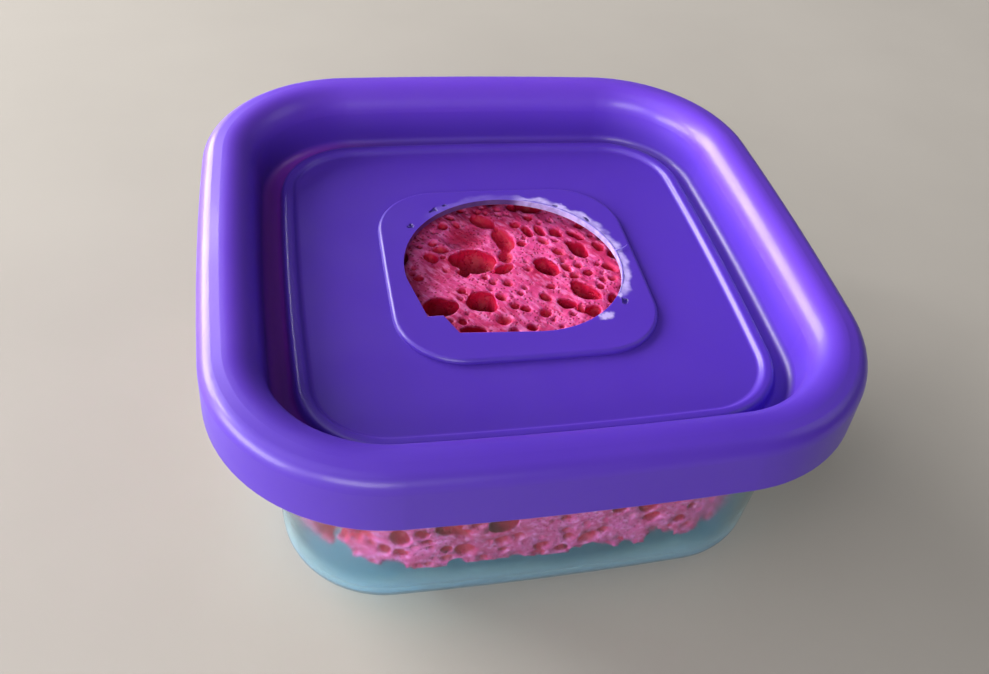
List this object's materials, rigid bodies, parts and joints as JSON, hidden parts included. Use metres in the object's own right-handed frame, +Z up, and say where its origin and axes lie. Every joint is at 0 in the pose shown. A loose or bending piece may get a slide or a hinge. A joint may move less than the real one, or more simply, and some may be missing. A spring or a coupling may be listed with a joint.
{
  "type": "wet palette",
  "caption": "Square press-lid tub filled with a damp sponge, which is dabbed with a brush through a hole cut in the sunken lid to keep paint workable.",
  "frame": {"origin": "middle of the face that the tub stands on", "axes": "+Z up, out of the tub's mouth; -Y towards the side nearest to the viewer in the picture, +X to the right"},
  "size_m": [0.105, 0.105, 0.0453],
  "materials": {
    "tub_plastic": "clear polypropylene with a pale aqua tint, slightly hazy",
    "sponge_cellulose": "damp pink cellulose sponge with coarse open pores",
    "lid_plastic": "moulded purple polyethylene, satin, white where it was cut"
  },
  "bodies": {
    "tub": {"tub": "tub_plastic"},
    "lid": {"lid": "lid_plastic"},
    "sponge": {"sponge": "sponge_cellulose"}
  },
  "joints": [
    {"name": "lid_lift", "type": "slide", "parent": "tub", "child": "lid", "axis": [0, 0, 1], "range_m": [0, 0.09]},
    {"name": "sponge_lift", "type": "slide", "parent": "tub", "child": "sponge", "axis": [0, 0, 1], "range_m": [0, 0.045]}
  ],
  "couplings": [
    {"joint": "sponge_lift", "follows": "lid_lift", "ratio": 0.5}
  ]
}
